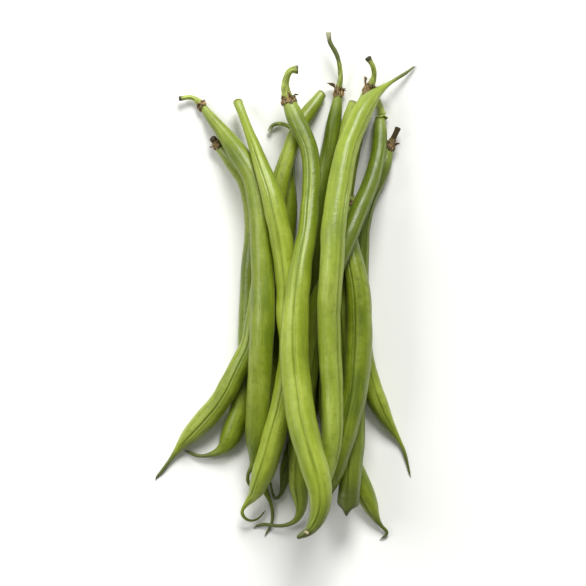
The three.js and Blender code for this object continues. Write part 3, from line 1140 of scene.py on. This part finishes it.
@dataclass(frozen=True)
class Joint:
    """Where a pod and its stalk meet.

    Attributes:
        foot: The meeting point.
        right: Level direction at right angles to both.
        top: Upward direction at right angles to both.
        down: Direction back into the pod.
        up: Direction along the stalk.
        shoulder: Radius of the pod just under the calyx.
        stalk: Radius of the stalk.
    """

    foot: np.ndarray
    right: np.ndarray
    top: np.ndarray
    down: np.ndarray
    up: np.ndarray
    shoulder: float
    stalk: float

    @classmethod
    def between(cls, pod: Centreline, line: Centreline) -> "Joint":
        """Measures the joint of a pod and its stalk.

        Args:
            pod: The pod's line, from its stem end.
            line: The stalk's line, from the pod.

        Returns:
            The joint.
        """
        down = pod.places[3] - pod.places[0]
        down /= np.linalg.norm(down)
        up = line.places[4] - line.places[0]
        up /= np.linalg.norm(up)
        mean = up - down
        mean /= np.linalg.norm(mean)
        right = np.cross(mean, UP)
        right /= np.linalg.norm(right)
        shoulder = 0.86 * float(np.interp(2 * MM, pod.along, pod.radii)) + 0.12 * MM
        foot = (pod.places[0] + line.places[0]) / 2
        return cls(foot, right, np.cross(right, mean), down, up, shoulder, float(np.min(line.radii)))

    def at(self, around: np.ndarray, radius: np.ndarray, forward: np.ndarray) -> np.ndarray:
        """Points round the joint.

        Args:
            around: Angles from the right towards the top.
            radius: Distances from the middle line.
            forward: Distances along the stalk, or into the pod where they are negative.

        Returns:
            One point for each angle.
        """
        out = np.cos(around)[:, None] * self.right + np.sin(around)[:, None] * self.top
        along = np.maximum(forward, 0)[:, None] * self.up - np.minimum(forward, 0)[:, None] * self.down
        return self.foot + radius[:, None] * out + along


# ---------------------------------------------------------------------------------------------------
# The bundle and the studio


@dataclass(frozen=True)
class Bundle:
    """All the beans, the lowest first."""

    pods: tuple[Pod, ...] = (
        Pod("left_outer", DEEP, ((0, 95), (1, 110)), 11),
        Pod("curly_stem", DEEP, ((0, 120), (1, 140)), 12),
        Pod("long_stem", DEEP, ((0, -70), (1, -40)), 13, shade_and_tones=((0, 0.75), (1, 0.6))),
        Pod("right_tail", MIDDLE, ((0, 60), (0.8, 60), (1, 20)), 14),
        Pod(
            "right_outer",
            MIDDLE,
            ((0, -50), (0.6, -20), (1, 10)),
            15,
            shade_and_tones=((0, 0.85), (0.4, 0.7), (0.7, 0.1), (1, 0)),
        ),
        Pod(
            "broken_tip",
            MIDDLE,
            ((0, 40), (0.8, 30), (1, 5)),
            16,
            Top.SCAR,
            pinch=0,
            blunt=4 * MM,
            shade_and_tones=((0, 0.2), (0.6, 0.3), (0.85, 0.6), (1, 0.5)),
        ),
        Pod("left_sweep", MIDDLE, ((0, 60), (0.5, 30), (0.7, 0), (1, -10)), 17, Top.SCAR),
        Pod("right_middle", DEEP, ((0, 30), (0.4, 22), (1, 8)), 18),
        Pod(
            "long_tail",
            MIDDLE,
            ((0, -75), (0.4, -70), (0.8, 20), (1, 30)),
            19,
            beak=22 * MM,
            shade_and_tones=((0, 0.9), (0.35, 0.75), (0.6, 0.1), (1, 0.1)),
        ),
        Pod("left_upper", MIDDLE, ((0, 110), (1, 125)), 20, shade_and_tones=((0, 0.15), (0.25, 0.3), (1, 0.1))),
        Pod(
            "curled_tail",
            BRIGHT,
            ((0, 15), (0.5, 18), (1, 22)),
            21,
            Top.CUT,
            necking=-0.15,
            shade_and_tones=((0, 0.35), (0.3, 0.25), (0.5, 0), (1, 0)),
        ),
        Pod("right_upper", PALE, ((0, 62), (0.15, 45), (0.8, 42), (1, 62)), 22),
        Pod(
            "topmost",
            BRIGHT,
            ((0, 20), (0.25, 26), (0.5, 8), (0.6, 0), (1, 0)),
            23,
            shade_and_tones=(
                *((0, 0.5), (0.08, 0.85), (0.3, 0.7), (0.48, 0.2)),
                *((0.6, 0.1), (0.87, 0.1), (0.96, 0.8), (1, 1)),
            ),
            beak=7 * MM,
            pinch=0.0,
            torn=(4.4 * MM, 0.3, 1.5 * MM),
        ),
    )
    stems: tuple[Stem, ...] = (
        Stem("left_outer", 31, finish=DRY_STALK, dryness=0.6, plump=0.75, cupped=0.6),
        Stem("curly_stem", 32, ragged=4, finish=GREY_STALK, dryness=0.3),
        Stem(
            "long_stem",
            33,
            (Sepal(175, 4.2 * MM, 78), Sepal(20, 1.8 * MM, 50), Sepal(80, 2.2 * MM, 60)),
            finish=GREY_STALK,
            dryness=0.5,
            flare=1.35,
            cupped=0.95,
        ),
        Stem(
            "right_tail",
            34,
            (Sepal(165, 4.2 * MM, 50), Sepal(10, 3.8 * MM, 55), Sepal(80, 2.8 * MM, 40)),
            dryness=0.1,
            cupped=1.1,
        ),
        Stem(
            "right_outer",
            35,
            (Sepal(165, 1.6 * MM, 85), Sepal(60, 3.0 * MM, 80), Sepal(10, 2.4 * MM, 70)),
            finish=DRY_STALK,
            dryness=0.7,
            plump=0.72,
            cupped=0.75,
        ),
        Stem("right_middle", 36, ragged=4, dryness=0.2, cupped=0.7),
        Stem("long_tail", 37, ragged=0, dryness=0.0, cupped=0.4, husk=GREEN_HUSK),
        Stem(
            "left_upper",
            38,
            (Sepal(185, 3.4 * MM, -60), Sepal(100, 2.0 * MM, 20)),
            dryness=0.1,
            cupped=0.7,
        ),
        Stem("right_upper", 39, dryness=0.5),
        Stem(
            "topmost",
            40,
            (Sepal(30, 2.8 * MM, 45), Sepal(70, 2.6 * MM, 65), Sepal(140, 2.0 * MM, 60)),
            dryness=0.05,
            plump=1.12,
            cupped=0.85,
        ),
    )

    def build(self) -> None:
        """Makes every pod and every stem."""
        for pod in self.pods:
            pod.build()
        for stem in self.stems:
            stem.build()


@dataclass(frozen=True)
class Softbox:
    """A square light that looks at the bundle.

    Attributes:
        name: Its name.
        place: Its place in metres.
        size: Its side in metres.
        power: Its power in watts.
    """

    name: str
    place: tuple[float, float, float]
    size: float
    power: float

    def hang(self) -> None:
        """Puts the light in the scene."""
        light = bpy.data.lights.new(self.name, "AREA")
        light.shape = "SQUARE"
        light.size = self.size
        light.energy = self.power
        lamp = bpy.data.objects.new(self.name, light)
        lamp.location = self.place
        lamp.rotation_euler = (-Vector(self.place)).to_track_quat("-Z", "Y").to_euler()
        bpy.context.scene.collection.objects.link(lamp)


@dataclass(frozen=True)
class Studio:
    """The table, the light and the camera over it.

    Attributes:
        camera_height: Height of the camera over the table, in metres.
        field: Width of the field of view at half the bundle's height, in metres.
        aim: Where it looks, from the middle of the bundle, in metres.
        room_light: Strength of the even white light of the room.
        softboxes: The lights. The one at the back is the key, and the one at the left fills.
    """

    camera_height: float = 2.5
    field: float = 205.1 * MM
    aim: tuple[float, float] = (2.5 * MM, -2.4 * MM)
    room_light: float = 0.23
    softboxes: tuple[Softbox, ...] = (
        Softbox("window_light", (0.3, 2.0, 1.7), 1.1, 84.0),
        Softbox("side_light", (-1.7, 0.5, 1.6), 1.1, 26.0),
    )

    SENSOR = 36.0  # millimetres
    TABLE = 6.0  # metres

    def build(self) -> None:
        """Makes the table, the world, the lights and the camera."""
        self.table()
        self.world()
        for softbox in self.softboxes:
            softbox.hang()
        self.camera()

    def table(self) -> None:
        """Lays a plain table under the bundle."""
        mesh = bpy.data.meshes.new("table_top")
        bm = bmesh.new()
        bmesh.ops.create_grid(bm, x_segments=1, y_segments=1, size=self.TABLE / 2)
        bm.to_mesh(mesh)
        bm.free()
        floor = bpy.data.objects.new("table_top", mesh)
        mesh.materials.append(TableTop().dressed())
        bpy.context.scene.collection.objects.link(floor)

    def world(self) -> None:
        """Fills the room with even white light."""
        scene = bpy.context.scene
        scene.world = bpy.data.worlds.new("white_room")
        scene.world.use_nodes = True
        background = scene.world.node_tree.nodes["Background"]
        background.inputs["Color"].default_value = (1.0, 1.0, 1.0, 1.0)
        background.inputs["Strength"].default_value = self.room_light
        scene.view_settings.view_transform = "Standard"

    def camera(self) -> None:
        """Sets the camera straight over the bundle."""
        low, high = CAD_BOX
        middle_height = (low[2] + high[2]) / 2
        lens = bpy.data.cameras.new("overhead_camera")
        lens.sensor_width = self.SENSOR
        lens.lens = self.SENSOR * (self.camera_height - middle_height) / self.field
        camera = bpy.data.objects.new("overhead_camera", lens)
        camera.location = (self.aim[0], self.aim[1], self.camera_height)
        bpy.context.scene.collection.objects.link(camera)
        bpy.context.scene.camera = camera


def main() -> None:
    """Builds the bundle and the studio."""
    logging.basicConfig(level=logging.INFO, format="%(message)s")
    Bundle().build()
    Studio().build()


if __name__ == "__main__":
    main()
